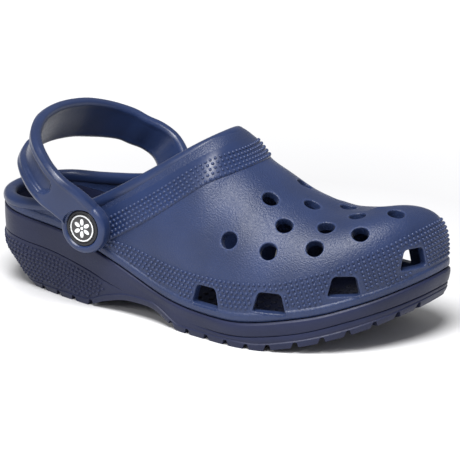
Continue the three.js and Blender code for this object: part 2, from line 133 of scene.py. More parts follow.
# Top row of the dots round the toe: [share of the half length, mm above the seam].
TOE_DOTS_TOP = [
    [-0.4, 9], [-0.33, 11], [-0.21, 15.6], [-0.08, 19.2], [0.1, 21.5], [0.37, 23], [0.51, 22.3],
    [0.64, 24.7], [0.73, 25.8], [0.81, 28], [0.88, 29.4], [0.94, 30.2], [1, 30.6],
]


def smooth_curve(points, unit=MM, soften=0.025):
    """A function through the points, softened over a short run so that its bends shade evenly."""
    t, v = np.array(points, float).T
    slope = np.gradient(v, t)
    slope[1:-1] = (v[2:] - v[:-2]) / (t[2:] - t[:-2])
    turns = (v[1:-1] - v[:-2]) * (v[2:] - v[1:-1]) <= 0
    slope[1:-1][turns] = 0
    fine = np.linspace(t[0] - 0.3, t[-1] + 0.3, 1601)
    inside = np.clip(fine, t[0], t[-1])
    k = np.clip(np.searchsorted(t, inside, side="right") - 1, 0, len(t) - 2)
    run = t[k + 1] - t[k]
    u = (inside - t[k]) / run
    rise = v[k + 1] - v[k]
    bend = u * (1 - u) * ((1 - u) * (slope[k] * run - rise) - u * (slope[k + 1] * run - rise))
    value = v[k] + rise * u + bend
    reach = int(soften / (fine[1] - fine[0]))
    weight = np.hanning(2 * reach + 3)
    padded = np.pad(value, reach + 1, mode="edge")
    value = np.convolve(padded, weight / weight.sum(), mode="valid") * unit
    return lambda at: np.interp(at, fine, value)


seam = smooth_curve(SEAM)
ground = smooth_curve(GROUND)
footbed = smooth_curve(FOOTBED)
ridge = smooth_curve(RIDGE)
rim = smooth_curve(RIM)
line = smooth_curve(LINE)
midline = smooth_curve(MIDLINE)
tread_inset = smooth_curve(TREAD_INSET)
squareness = smooth_curve(SQUARENESS, unit=1)
toe_dots_top = smooth_curve(TOE_DOTS_TOP)


def catmull_rom(knots, steps, closed):
    """Centripetal curve through the knots, with the same number of steps between each two."""
    knots = np.array(knots, float)
    if not closed:
        first, last = 2 * knots[0] - knots[1], 2 * knots[-1] - knots[-2]
        knots = np.vstack([first, knots, last])
    count = len(knots)
    spans = range(count) if closed else range(1, count - 2)
    u = np.linspace(0, 1, steps, endpoint=False)[:, None]
    pieces = []
    for i in spans:
        a, b, c, d = (knots[(i + k) % count] for k in (-1, 0, 1, 2))
        e, f, g = (np.linalg.norm(q - p) ** 0.5 for p, q in ((a, b), (b, c), (c, d)))
        start = ((b - a) / e - (c - a) / (e + f) + (c - b) / f) * f
        end = ((c - b) / f - (d - b) / (f + g) + (d - c) / g) * f
        pieces.append((2 * u**3 - 3 * u**2 + 1) * b + (u**3 - 2 * u**2 + u) * start
                      + (3 * u**2 - 2 * u**3) * c + (u**3 - u**2) * end)
    if not closed:
        pieces.append(knots[-2:-1])
    return np.vstack(pieces)


def softened(points, reach):
    """A closed run of points, each moved to the weighted middle of its neighbours."""
    weight = np.hanning(2 * reach + 3)[1:-1]
    weight /= weight.sum()
    shifts = range(-reach, reach + 1)
    return sum(w * np.roll(points, s, axis=0) for w, s in zip(weight, shifts))


PLAN_CURVE = softened(catmull_rom(OUTLINE, 80, closed=True), 24)
SOLE_LOW, SOLE_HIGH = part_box("sole")
HALF_LENGTH = (SOLE_HIGH.x - SOLE_LOW.x) / 2
HALF_WIDTH = (SOLE_HIGH.y - SOLE_LOW.y) / np.ptp(PLAN_CURVE[:, 1])
CENTRE_Y = SOLE_HIGH.y - HALF_WIDTH * PLAN_CURVE[:, 1].max()
PIVOT = Vector(frame["joints"][0]["pos_m"])
RIDGE_PULL = 0.25  # share by which the ridge stops short of the heel and the toe
BEAD_STANDOFF = 1.2 * MM  # the seam lies this far inside the sole's fullest line
WALL = 5 * MM
PART_GAP = 0.3 * MM


def plan_ring(half):
    """Points round the outline in pairs at the same stations, and the outward direction at each."""
    x, y = PLAN_CURVE.T
    back, toe = int(x.argmin()), int(x.argmax())
    t = (x - x[back]) / (x[toe] - x[back]) * 2 - 1
    order = np.roll(np.arange(len(x)), -back)
    split = list(order).index(toe)
    outer, inner = order[:split + 1], np.append(order[split:], back)[::-1]
    stations = -np.cos(np.linspace(0, pi, half + 1))
    outer_y = np.interp(stations, t[outer], y[outer])
    inner_y = np.interp(stations, t[inner], y[inner])
    inner_y[[0, -1]] = outer_y[[0, -1]]
    xs = np.concatenate([stations, stations[-2:0:-1]]) * HALF_LENGTH
    ys = np.concatenate([outer_y, inner_y[-2:0:-1]]) * HALF_WIDTH + CENTRE_Y
    points = np.stack([xs, ys], axis=1)
    step = np.roll(points, -1, axis=0) - np.roll(points, 1, axis=0)
    outward = np.stack([step[:, 1], -step[:, 0]], axis=1)
    return points, outward / np.linalg.norm(outward, axis=1)[:, None]


def inset_ring(plan, inset):
    points, outward = plan
    t = points[:, 0] / HALF_LENGTH
    amount = inset(t) if callable(inset) else inset
    return points - outward * np.reshape(amount, (-1, 1))


def flat_ring(plan, inset, height):
    q = inset_ring(plan, inset)
    return np.column_stack([q, height(q[:, 0] / HALF_LENGTH)])


def dome_ring(plan, inset, lower, angle):
    """One ring of the vamp's dome. It closes from the outline to the ridge as the angle grows."""
    q = inset_ring(plan, inset)
    t = q[:, 0] / HALF_LENGTH
    ridge_x = q[:, 0] * (1 - RIDGE_PULL * np.abs(t) ** 3)
    top = ridge(ridge_x / HALF_LENGTH) - lower
    power = 2 / squareness(t)
    reach, climb = cos(angle) ** power, sin(angle) ** power
    x = ridge_x + (q[:, 0] - ridge_x) * reach
    middle = midline(ridge_x / HALF_LENGTH) + CENTRE_Y
    y = middle + (q[:, 1] - middle) * reach
    return np.column_stack([x, y, seam(t) + (top - seam(t)) * climb])


def paired(ring):
    """The ring with each point moved to the middle between it and its partner across the clog."""
    partner = (-np.arange(len(ring))) % len(ring)
    return (ring + ring[partner]) / 2


def towards_middle(ring, share):
    return ring + (paired(ring) - ring) * share


def dome_columns(plan, inset, lower, arcs):
    """The dome as rings at given arcs up from the seam: a fixed length, then a share of the rest."""
    angles = (pi / 2) * (0.5 - 0.5 * np.cos(np.linspace(0, pi, 140)))
    rings = [dome_ring(plan, inset, lower, min(a, pi / 2 - 1e-7)) for a in angles]
    rings[-1] = paired(rings[-1])
    stack = np.array(rings)
    length = np.zeros(stack.shape[:2])
    length[1:] = np.cumsum(np.linalg.norm(np.diff(stack, axis=0), axis=2), axis=0)
    fixed, share = arcs
    out = np.zeros((len(fixed), stack.shape[1], 3))
    for i in range(stack.shape[1]):
        reach = fixed + share * (length[-1, i] - fixed)
        for k in range(3):
            out[:, i, k] = np.interp(reach, length[:, i], stack[:, i, k])
    out[-1] = paired(out[-1])
    return out


def bump(x):
    """A rounded hump of height 1 at 0, all but gone past 1.5."""
    return np.exp(-(x ** 2) * 2)


def ramp(x, low, high):
    """From 0 at low to 1 at high, easing in and out."""
    u = np.clip((x - low) / (high - low), 0, 1)
    return u * u * (3 - 2 * u)


# ---- making meshes ----
def new_piece(name, bm, smooth=True, sharp=35):
    mesh = bpy.data.meshes.new(name)
    bm.to_mesh(mesh)
    bm.free()
    piece = bpy.data.objects.new(name, mesh)
    bpy.context.scene.collection.objects.link(piece)
    if smooth:
        shade(piece, sharp)
    return piece


def shade(piece, sharp):
    """Smooth shading, with edges kept sharp past an angle in degrees."""
    piece.data.shade_smooth()
    piece.data.set_sharp_from_angle(angle=radians(sharp))


def lay_skin(bm, rings, close_ends=False, merge=2e-5):
    """A grid laid over rings of equal count, closed round each ring. Open ends can be filled."""
    levels, count = len(rings), len(rings[0])
    before = set(bm.verts)
    bmesh.ops.create_grid(bm, x_segments=count, y_segments=levels - 1, size=0.5)
    made = [v for v in bm.verts if v not in before]
    for v in made:
        i = round((v.co.x + 0.5) * count) % count
        k = round((v.co.y + 0.5) * (levels - 1))
        v.co = rings[k][i]
    bmesh.ops.remove_doubles(bm, verts=made, dist=merge)
    if close_ends:
        made = [v for v in bm.verts if v not in before]
        edges = {e for v in made for e in v.link_edges if e.is_boundary}
        bmesh.ops.holes_fill(bm, edges=list(edges))
    return [v for v in bm.verts if v not in before]


def face_outwards(bm):
    bmesh.ops.recalc_face_normals(bm, faces=bm.faces)


def apply_modifiers(piece):
    seen = piece.evaluated_get(bpy.context.evaluated_depsgraph_get())
    mesh = bpy.data.meshes.new_from_object(seen)
    piece.modifiers.clear()
    piece.data = mesh


def carve(piece, cutter, crossing=False):
    """Cuts the piece. The cutter's own parts may cross each other if crossing is set."""
    modifier = piece.modifiers.new("carve", "BOOLEAN")
    modifier.object = cutter
    modifier.operation = "DIFFERENCE"
    modifier.solver = "EXACT"
    modifier.use_self = crossing
    apply_modifiers(piece)
    bpy.data.objects.remove(cutter)


def prism(bm, outline, move):
    """A flat outline's face, drawn out along a vector into a closed solid."""
    face = bm.faces.new([bm.verts.new(corner) for corner in outline])
    drawn = bmesh.ops.extrude_face_region(bm, geom=[face])["geom"]
    far_end = [g for g in drawn if isinstance(g, bmesh.types.BMVert)]
    bmesh.ops.translate(bm, verts=far_end, vec=move)


def turned(bm, profile, side, steps=64):
    """A shape turned about the strap's pivot. The profile is [radius, distance from the mid-plane]."""
    start = [bm.verts.new((PIVOT.x + r, side * d, PIVOT.z)) for r, d in profile]
    edges = [bm.edges.new(pair) for pair in zip(start, start[1:])]
    geometry = start + edges
    bmesh.ops.spin(bm, geom=geometry, cent=PIVOT, axis=(0, 1, 0), angle=2 * pi, steps=steps,
                   use_merge=True)
    bmesh.ops.remove_doubles(bm, verts=bm.verts, dist=1e-7)


def rounded_profile(corners, segments=5):
    """[radius, distance, rounding] corners joined by lines, each corner turned into an arc."""
    points = []
    for i, (r, d, rounding) in enumerate(corners):
        here = Vector((r, d))
        if rounding == 0:
            points.append(here)
            continue
        before = (Vector(corners[i - 1][:2]) - here).normalized() * rounding
        after = (Vector(corners[i + 1][:2]) - here).normalized() * rounding
        for k in range(segments + 1):
            u = k / segments
            points.append(here + before * (1 - u) ** 2 + after * u ** 2)
    return [tuple(p) for p in points]


# ---- finishes ----
def node(tree, kind, **inputs):
    made = tree.nodes.new(kind)
    for name, value in inputs.items():
        made.inputs[name.replace("_", " ")].default_value = value
    return made


def speckle(tree, scale, detail=3.0, roughness=0.5):
    """A noise pattern on the piece, in object coordinates."""
    noise = node(tree, "ShaderNodeTexNoise", Scale=scale, Detail=detail, Roughness=roughness)
    tree.links.new(tree.nodes["place"].outputs["Object"], noise.inputs["Vector"])
    return noise.outputs["Fac"]


def ranged(tree, value, low, high, to_low, to_high):
    made = node(tree, "ShaderNodeMapRange")
    for name, number in (("From Min", low), ("From Max", high), ("To Min", to_low), ("To Max", to_high)):
        made.inputs[name].default_value = number
    tree.links.new(value, made.inputs["Value"])
    return made.outputs["Result"]


def mixed(tree, first, second, factor):
    """A blend of two colours by a factor socket. Each colour is a plain one or another socket."""
    mix = tree.nodes.new("ShaderNodeMix")
    mix.data_type = "RGBA"
    for slot, colour in (("A", first), ("B", second)):
        if isinstance(colour, bpy.types.NodeSocket):
            tree.links.new(colour, mix.inputs[slot])
        else:
            mix.inputs[slot].default_value = (*colour, 1)
    tree.links.new(factor, mix.inputs["Factor"])
    return mix.outputs["Result"]


def finish_with(name, colour, gloss, coat=0.0, sheen=0.0, shine=0.5):
    """A new material with its shader and its object coordinates, ready for a pattern."""
    material = bpy.data.materials.new(name)
    material.use_nodes = True
    material.diffuse_color = (*colour, 1)
    tree = material.node_tree
    place = tree.nodes.new("ShaderNodeTexCoord")
    place.name = "place"
    shader = tree.nodes["Principled BSDF"]
    shader.inputs["Base Color"].default_value = (*colour, 1)
    shader.inputs["Roughness"].default_value = gloss
    shader.inputs["Specular IOR Level"].default_value = shine
    shader.inputs["Coat Weight"].default_value = coat
    shader.inputs["Coat Roughness"].default_value = 0.3
    shader.inputs["Sheen Weight"].default_value = sheen
    shader.inputs["Sheen Roughness"].default_value = 0.4
    return material, tree, shader


def foam(name, colour, gloss, grain, grain_depth, sheen=0.05, shine=0.5):
    """Closed-cell foam: a skin with fine grain, slow shifts of shade and paler rubbed edges."""
    material, tree, shader = finish_with(name, colour, gloss, sheen=sheen, shine=shine)
    cloud = speckle(tree, 28, detail=2)
    fine = speckle(tree, grain, detail=2, roughness=0.6)
    dark, pale, rubbed = ([c * share + rise for c in colour]
                          for share, rise in ((0.82, 0), (1.2, 0), (1.4, 0.008)))
    mottle = mixed(tree, dark, pale, ranged(tree, cloud, 0.3, 0.7, 0, 1))
    edge = tree.nodes.new("ShaderNodeNewGeometry").outputs["Pointiness"]
    worn = mixed(tree, mottle, rubbed, ranged(tree, edge, 0.52, 0.6, 0, 0.6))
    tree.links.new(worn, shader.inputs["Base Color"])
    tree.links.new(ranged(tree, fine, 0.3, 0.7, gloss - 0.06, gloss + 0.08), shader.inputs["Roughness"])
    relief = node(tree, "ShaderNodeBump", Strength=grain_depth, Distance=0.4 * MM)
    tree.links.new(fine, relief.inputs["Height"])
    tree.links.new(relief.outputs["Normal"], shader.inputs["Normal"])
    return material


def hard_plastic(name, colour, gloss, coat=0.0):
    """Moulded plastic with faint flow marks and a fine tooth."""
    material, tree, shader = finish_with(name, colour, gloss, coat)
    flow = speckle(tree, 160, detail=4)
    blend = mixed(tree, [c * 0.8 for c in colour], [min(c * 1.25, 1) for c in colour], flow)
    tree.links.new(blend, shader.inputs["Base Color"])
    tree.links.new(ranged(tree, flow, 0.3, 0.7, gloss - 0.05, gloss + 0.08), shader.inputs["Roughness"])
    tooth = node(tree, "ShaderNodeBump", Strength=0.15, Distance=0.05 * MM)
    tree.links.new(speckle(tree, 2200), tooth.inputs["Height"])
    tree.links.new(tooth.outputs["Normal"], shader.inputs["Normal"])
    return material


NAVY = (0.0115, 0.024, 0.078)
UPPER_FOAM = foam("upper foam", NAVY, 0.42, 1000, 1.0)
RIM_FOAM = foam("smooth rim foam", NAVY, 0.36, 500, 0.08)
STRAP_FOAM = foam("strap foam", NAVY, 0.36, 700, 0.1)
SOLE_FOAM = foam("sole foam", (0.0115, 0.0155, 0.046), 0.46, 800, 0.3, shine=0.3)
FOOTBED_FOAM = foam("footbed foam", (0.011, 0.014, 0.036), 0.6, 600, 0.3, shine=0.4)
RIVET_PLASTIC = hard_plastic("rivet plastic", (0.008, 0.009, 0.014), 0.4)
BADGE_GROUND = hard_plastic("badge ground", (0.01, 0.01, 0.012), 0.3, coat=0.6)
BADGE_PRINT = hard_plastic("badge print", (0.78, 0.8, 0.82), 0.3, coat=0.6)


def dress(piece, material, body, slot, *replaced):
    piece.data.materials.clear()
    piece.data.materials.append(material)
    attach(piece, body)
    if replaced:
        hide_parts(*replaced)
    return piece


# ---- upper ----
UPPER_PLAN = plan_ring(250)
OUTER_LEVELS, INNER_LEVELS = 62, 22
LEDGE_ARCS = np.array([0, 0.35, 0.8, 1.3, 2, 3, 4, 4.9, 5.5, 6.1, 6.8, 7.6]) * MM
LEDGE = 1.0 * MM  # the moulding's foot stands this far proud of the dotted wall


def outer_arcs():
    """Arc lengths of the outer rings: fixed at the foot of the wall, then shares of what is left."""
    rest = OUTER_LEVELS - len(LEDGE_ARCS)
    fixed = np.concatenate([LEDGE_ARCS, np.full(rest, LEDGE_ARCS[-1])])
    share = np.concatenate([np.zeros(len(LEDGE_ARCS)), np.linspace(0, 1, rest + 1)[1:]])
    return fixed, share


def grid_normals(stack):
    along = np.roll(stack, -1, axis=1) - np.roll(stack, 1, axis=1)
    upward = np.gradient(stack, axis=0)
    normal = np.cross(along, upward)
    length = np.linalg.norm(normal, axis=2)[:, :, None]
    return normal / np.maximum(length, 1e-12)


def ledge_relief(arc):
    """How far the wall stands out near the seam, by arc length up from it."""
    tucked = -0.6 * MM * (1 - ramp(arc, 0, 1.2 * MM))
    return tucked + LEDGE * ramp(arc, 0, 2 * MM) * (1 - ramp(arc, 5 * MM, 6.4 * MM))


BARE_DOME = dome_columns(UPPER_PLAN, BEAD_STANDOFF, 0, outer_arcs())
BARE_NORMALS = grid_normals(BARE_DOME)


def dome_surface():
    """The bare outer dome, to lay details on."""
    bm = bmesh.new()
    lay_skin(bm, BARE_DOME[::-1])
    face_outwards(bm)
    tree = BVHTree.FromBMesh(bm)
    bm.free()
    return tree


DOME = dome_surface()
NORMAL_LOOKUP = KDTree(BARE_DOME.shape[0] * BARE_DOME.shape[1])
for index, point in enumerate(BARE_DOME.reshape(-1, 3)):
    NORMAL_LOOKUP.insert(point, index)
NORMAL_LOOKUP.balance()
FLAT_NORMALS = BARE_NORMALS.reshape(-1, 3)


def dome_normal(point):
    """Outward direction of the dome near a point, averaged over a few corners of its grid."""
    total = Vector()
    for _, index, distance in NORMAL_LOOKUP.find_n(point, 6):
        total += Vector(FLAT_NORMALS[index]) / (distance + 0.3 * MM)
    return total.normalized()


def mouth_loop(inset, lower, count):
    """The mouth's edge on one skin of the shell: evenly spaced points, from the heel round."""
    angles = np.linspace(0.02, pi / 2 - 1e-6, 400)
    stack = np.array([dome_ring(UPPER_PLAN, inset, lower, a) for a in angles])
    above = stack[:, :, 2] - rim(stack[:, :, 0] / HALF_LENGTH)
    half = len(UPPER_PLAN[0]) // 2
    sides = []
    for columns in (range(0, half + 1), range(2 * half, half - 1, -1)):
        run = []
        for i in columns:
            column, gap = stack[:, i % (2 * half)], above[:, i % (2 * half)]
            crossing = np.nonzero((gap[:-1] < 0) & (gap[1:] >= 0))[0]
            if len(crossing) == 0 or column[0, 0] > 0.3 * HALF_LENGTH:
                if run:
                    break
                continue
            k = crossing[0]
            u = gap[k] / (gap[k] - gap[k + 1])
            run.append(column[k] + (column[k + 1] - column[k]) * u)
        sides.append(run)
    ts = np.linspace(0, 0.3, 600)
    crest = ts[np.argmin(np.abs(ridge(ts) - lower - rim(ts)))]
    front = np.array([crest * HALF_LENGTH, midline(crest) + CENTRE_Y, rim(crest)])
    loop = np.vstack([sides[0], [front], sides[1][::-1][:-1]])
    return softened(even_loop(loop, count), 5)


def even_loop(points, count):
    closed = np.vstack([points, points[:1]])
    length = np.concatenate([[0], np.cumsum(np.linalg.norm(np.diff(closed, axis=0), axis=1))])
    at = np.linspace(0, length[-1], count, endpoint=False)
    return np.column_stack([np.interp(at, length, closed[:, k]) for k in range(3)])


LOOP_COUNT = 420
MOUTH_OUTSIDE = mouth_loop(BEAD_STANDOFF, 0, LOOP_COUNT)
MOUTH_INSIDE = mouth_loop(BEAD_STANDOFF + WALL, WALL, LOOP_COUNT)


def mouth_slab(bm):
    """Everything above the rim line, right across the clog."""
    stations = np.linspace(-1.2, RIM[-1][0], 150)
    far = 3 * HALF_WIDTH
    top = 250 * MM
    corners = [(t * HALF_LENGTH, rim(t)) for t in stations]
    corners += [(stations[-1] * HALF_LENGTH, top), (stations[0] * HALF_LENGTH, top)]
    prism(bm, [(x, -far, z) for x, z in corners], (0, 2 * far, 0))


def opening(bm, outline, centre, across, up, outward, edge_round, depth):
    """A cutter for one opening, flared where it meets the dome so that the edge comes out rounded.

    The outline holds [x, y, outward x, outward y] in the plane of across and up.
    """
    reach = 30 * MM
    segments = 5

    def on_skin(x, y):
        start = centre + across * x + up * y + outward * reach
        hit = DOME.ray_cast(start, -outward, 3 * reach)[0]
        return hit if hit else start - outward * reach

    rings = []
    for k in range(segments + 1):
        turn = pi / 2 * k / segments
        out, sink = edge_round * (1 - sin(turn)), edge_round * (1 - cos(turn))
        ring = [on_skin(x + nx * out, y + ny * out) - outward * sink for x, y, nx, ny in outline]
        rings.append(ring)
    lifted = [p + outward * 1.5 * MM + (p - centre).normalized() * 0.5 * MM for p in rings[0]]
    deep = [p - outward * depth for p in rings[-1]]
    lay_skin(bm, [lifted, *rings, deep], close_ends=True, merge=1e-7)


def circle_outline(radius, steps=28):
    angles = [2 * pi * k / steps for k in range(steps)]
    return [(radius * cos(a), radius * sin(a), cos(a), sin(a)) for a in angles]


def rounded_outline(corners, segments=5):
    """A polygon's outline with arcs for corners: [x, y, radius] each, anticlockwise."""
    outline = []
    for i, (x, y, radius) in enumerate(corners):
        here = Vector((x, y))
        *next_place, next_radius = corners[(i + 1) % len(corners)]
        edge = Vector(next_place) - here
        before = (Vector(corners[i - 1][:2]) - here).normalized()
        after = edge.normalized()
        half_angle = before.angle(after) / 2
        middle = here + (before + after).normalized() * radius / sin(half_angle)
        first = Vector((before.y, -before.x)) * -1
        last = Vector((after.y, -after.x))
        for k in range(segments + 1):
            n = (first * (1 - k / segments) + last * (k / segments)).normalized()
            outline.append((middle.x + n.x * radius, middle.y + n.y * radius, n.x, n.y))
        if edge.length > 3 * (radius + next_radius):
            straight = [here + edge * u for u in (0.3, 0.5, 0.7)]
            outline += [(p.x, p.y, last.x, last.y) for p in straight]
    return outline


# Vents: [share of the half length, share of the half ball width from the middle of the foot].
VENTS = [
    [0.28, -0.795], [0.28, 0.761], [0.37, -0.359], [0.385, 0.291], [0.45, -0.769], [0.47, -0.547],
    [0.5, -0.111], [0.5, 0.41], [0.6, 0.154], [0.62, -0.444], [0.62, -0.684], [0.62, 0.581],
    [0.695, -0.171], [0.72, 0.359], [0.765, -0.496], [0.84, -0.137],
]
VENT_RADIUS = 5 * MM
VENT_LEAN = 0.9  # how far each vent leans from upright to square to the dome
VENT_EDGE, VENT_DEPTH = 0.75 * MM, 14 * MM
# Side ports: [side, share of the half length, mm from the seam to the middle].
PORTS = [
    [OUTER, 0.2, 11.4], [OUTER, 0.495, 11.2], [OUTER, 0.765, 13.4], [OUTER, 0.955, 15.5],
    [INNER, 0.2, 11.4], [INNER, 0.48, 11.2], [INNER, 0.73, 13.4], [INNER, 0.915, 15.5],
]
PORT_WIDTH, PORT_HEIGHT, PORT_TAPER = 19.5 * MM, 11.6 * MM, 3 * MM
PORT_EDGE, PORT_DEPTH = 0.8 * MM, 16 * MM


def cut_vents(bm):
    down = Vector((0, 0, -1))
    for t, across in VENTS:
        start = Vector((t * HALF_LENGTH, midline(t) + CENTRE_Y + across * HALF_WIDTH, 0.2))
        centre = DOME.ray_cast(start, down)[0]
        outward = (-down).lerp(dome_normal(centre), VENT_LEAN).normalized()
        side = outward.cross(Vector((1, 0, 0))).normalized()
        opening(bm, circle_outline(VENT_RADIUS), centre, side.cross(outward), side, outward,
                VENT_EDGE, VENT_DEPTH)


def edge_at(side, t):
    """Where the outline passes a station on one side, and its outward direction there."""
    points, outward = UPPER_PLAN
    half = len(points) // 2
    choice = np.arange(1, half) if side == OUTER else np.arange(half + 1, 2 * half)
    i = choice[np.argmin(np.abs(points[choice, 0] - t * HALF_LENGTH))]
    return Vector((*points[i], 0)), Vector((*outward[i], 0))


def port_outline():
    low, high = PORT_WIDTH / 2, PORT_WIDTH / 2 - PORT_TAPER
    rise = PORT_HEIGHT / 2
    return rounded_outline([
        (-low, -rise, 1.2 * MM), (low, -rise, 1.2 * MM), (high, rise, 3 * MM), (-high, rise, 3 * MM)])


def port_place(side, t, rise):
    point, outward = edge_at(side, t)
    point.z = float(seam(t)) + rise * MM
    across = Vector((0, 0, 1)).cross(outward).normalized()
    return point, across, outward


def cut_ports(bm):
    for side, t, rise in PORTS:
        point, across, outward = port_place(side, t, rise)
        opening(bm, port_outline(), point, across, Vector((0, 0, 1)), outward, PORT_EDGE, PORT_DEPTH)


def upper_shell():
    """The vamp, collar and heel cup: outer and inner domes joined along the seam, then cut open."""
    fixed, share = outer_arcs()
    arc_up = np.where(share > 0, 1, fixed)
    outside = BARE_DOME + BARE_NORMALS * ledge_relief(arc_up)[:, None, None]
    outside[-1] = paired(outside[-1])
    outside[0, :, 2] += PART_GAP / 2
    inner_arcs = (np.zeros(INNER_LEVELS), np.linspace(0, 1, INNER_LEVELS))
    inside = dome_columns(UPPER_PLAN, BEAD_STANDOFF + WALL, WALL, inner_arcs)
    inside[0, :, 2] += PART_GAP / 2
    bm = bmesh.new()
    lay_skin(bm, np.concatenate([outside[::-1], inside]))
    face_outwards(bm)
    shell = new_piece("upper_shell", bm)
    cutters = bmesh.new()
    mouth_slab(cutters)
    cut_vents(cutters)
    cut_ports(cutters)
    face_outwards(cutters)
    carve(shell, new_piece("openings", cutters, smooth=False))
    shade(shell, 32)
    return shell


def roll_section():
    """Half-round roll that caps the wall: [outward from the wall's middle, up from the cut]."""
    corners = [
        (1.6, -5.7), (2.6, -5.6), (3.6, -5.2), (4.4, -4.3), (4.7, -2.9), (4.4, -1.2), (3.3, 0.3),
        (1.8, 1.1), (0, 1.4), (-1.5, 1), (-2.7, 0.2), (-3.3, -1.2), (-3.4, -3), (-3.1, -4.6),
        (-2.6, -5.6), (-1.8, -6.2), (0, -6.4),
    ]
    return catmull_rom(corners, 3, closed=True) * MM


def loop_directions(loop):
    step = np.roll(loop, -1, axis=0) - np.roll(loop, 1, axis=0)
    return step / np.linalg.norm(step, axis=1)[:, None]


def collar_rim():
    """The rolled rim round the mouth, shallower at the heel where the seam is close."""
    section = roll_section()
    middle = (MOUTH_OUTSIDE + MOUTH_INSIDE) / 2
    run = loop_directions(middle)
    across = MOUTH_OUTSIDE - MOUTH_INSIDE
    across -= run * np.sum(across * run, axis=1)[:, None]
    across = softened(across / np.linalg.norm(across, axis=1)[:, None], 4)
    up = np.cross(across, run)
    up *= np.sign(up[:, 2:3])
    t = middle[:, 0] / HALF_LENGTH
    room = np.clip((rim(t) - seam(t) - 0.5 * MM) / (6.4 * MM), 0.4, 1)[:, None]
    rings = []
    for a, u in section:
        sunk = u * room if u < 0 else u
        rings.append(middle + across * a + up * sunk)
    stations = np.swapaxes(np.array(rings), 0, 1)
    bm = bmesh.new()
    closed = np.concatenate([stations, stations[:1]])
    lay_skin(bm, closed, merge=1e-6)
    face_outwards(bm)
    return new_piece("collar_rim", bm, sharp=60)


# ---- details laid on the dome beside the mouth ----
BAND_TOP, BAND_FOOT = 12.4 * MM, 26.4 * MM  # the dotted collar band, down from the mouth's edge
BAND_LIFT = 0.8 * MM
BAND_FADE = (-0.47, -0.36)  # stations between which the band rises out of the wall
MARCH = 0.9 * MM  # step of the lines run down from the mouth's edge


def collar_field():
    """Lines run down the dome square to the mouth's edge: places by [step down][point round]."""
    run = loop_directions(MOUTH_OUTSIDE)
    places = [Vector(p) for p in MOUTH_OUTSIDE]
    headings = []
    for point, along in zip(places, run):
        heading = Vector(along).cross(dome_normal(point)).normalized()
        headings.append(heading)
    centre = MOUTH_OUTSIDE.mean(axis=0)
    if sum(h.dot(p - Vector(centre)) for h, p in zip(headings, places)) < 0:
        headings = [-h for h in headings]
    rows = [list(places)]
    for _ in range(int((BAND_FOOT + 4 * MM) / MARCH)):
        for k, point in enumerate(places):
            ahead = point + headings[k] * MARCH
            landed = DOME.find_nearest(ahead)[0]
            normal = dome_normal(landed)
            heading = landed - point
            headings[k] = (heading - normal * heading.dot(normal)).normalized()
            places[k] = landed
        rows.append(list(places))
    return np.array(rows)


COLLAR_FIELD = collar_field()


def collar_row(down):
    """The closed line on the dome at one distance down from the mouth's edge."""
    k = down / MARCH
    low = int(k)
    row = COLLAR_FIELD[low] + (COLLAR_FIELD[low + 1] - COLLAR_FIELD[low]) * (k - low)
    return softened(row, 2)


def lift_from_dome(row, lift):
    return np.array([Vector(p) + dome_normal(p) * lift for p in row])


def band_front(row):
    """Share of the band's height at each point: it fades out where it passes behind the knob."""
    t = row[:, 0] / HALF_LENGTH
    return ramp(t, *BAND_FADE)[:, None]


def collar_band():
    """The raised strip that carries the collar's dots, a thin closed skin sunk into the wall."""
    section = [(BAND_TOP - 6 * MM, -0.9), (BAND_TOP - 5 * MM, -0.15), (BAND_TOP - 3.5 * MM, 0.08),
               (BAND_TOP - 2 * MM, 0.3), (BAND_TOP, 0.6), (BAND_TOP + 2.2 * MM, 0.85)]
    middle = np.linspace(BAND_TOP + 4.5 * MM, BAND_FOOT - 2 * MM, 7)
    section += [(d, 1) for d in middle]
    section += [(BAND_FOOT - 0.8 * MM, 0.97), (BAND_FOOT - 0.25 * MM, 0.8), (BAND_FOOT, 0.45),
                (BAND_FOOT + 0.1 * MM, -0.9)]
    rings = []
    for down, lift in section:
        row = collar_row(down)
        shown = band_front(row)
        deep = 1.0 * MM * (1 - shown)
        normals = np.array([dome_normal(p) for p in row])
        rings.append(row + normals * (BAND_LIFT * lift * shown - deep))
    back = [lift_from_dome(collar_row(d), -2 * MM) for d in (BAND_FOOT - 1 * MM, BAND_TOP + 1 * MM)]
    bm = bmesh.new()
    lay_skin(bm, np.array([*rings, *back, rings[0]]), merge=1e-6)
    face_outwards(bm)
    return new_piece("collar_band", bm, sharp=50)


DOT_PITCH = 3.15 * MM
ROW_PITCH = 2.75 * MM
DOT_RADIUS = 1.05 * MM
DOT_HEIGHT = 0.95  # share of the radius
COLLAR_ROWS, TOE_ROWS, HEEL_ROWS = 5, 10, 9
# The dots of the collar and the toe start past these stations, and those of the heel end at one.
COLLAR_DOTS_START, TOE_DOTS_START, HEEL_DOTS_END = -0.38, -0.36, -0.34


def add_domes(bm, places, radius, height, u_segments=8, v_segments=5):
    """Low round domes, half sunk in the surface. Each place is a point and an outward direction."""
    for first in range(0, len(places), 16):
        few = bmesh.new()
        for place, normal in places[first:first + 16]:
            turn = normal.to_track_quat("Z", "Y").to_matrix().to_4x4()
            matrix = Matrix.Translation(place) @ turn @ Matrix.Diagonal((1, 1, height, 1))
            bmesh.ops.create_uvsphere(
                few, u_segments=u_segments, v_segments=v_segments, radius=radius, matrix=matrix)
        mesh = bpy.data.meshes.new("a few domes")
        few.to_mesh(mesh)
        few.free()
        bm.from_mesh(mesh)
        bpy.data.meshes.remove(mesh)


def dotted(name, places):
    bm = bmesh.new()
    add_domes(bm, places, DOT_RADIUS, DOT_HEIGHT)
    return new_piece(name, bm, sharp=60)


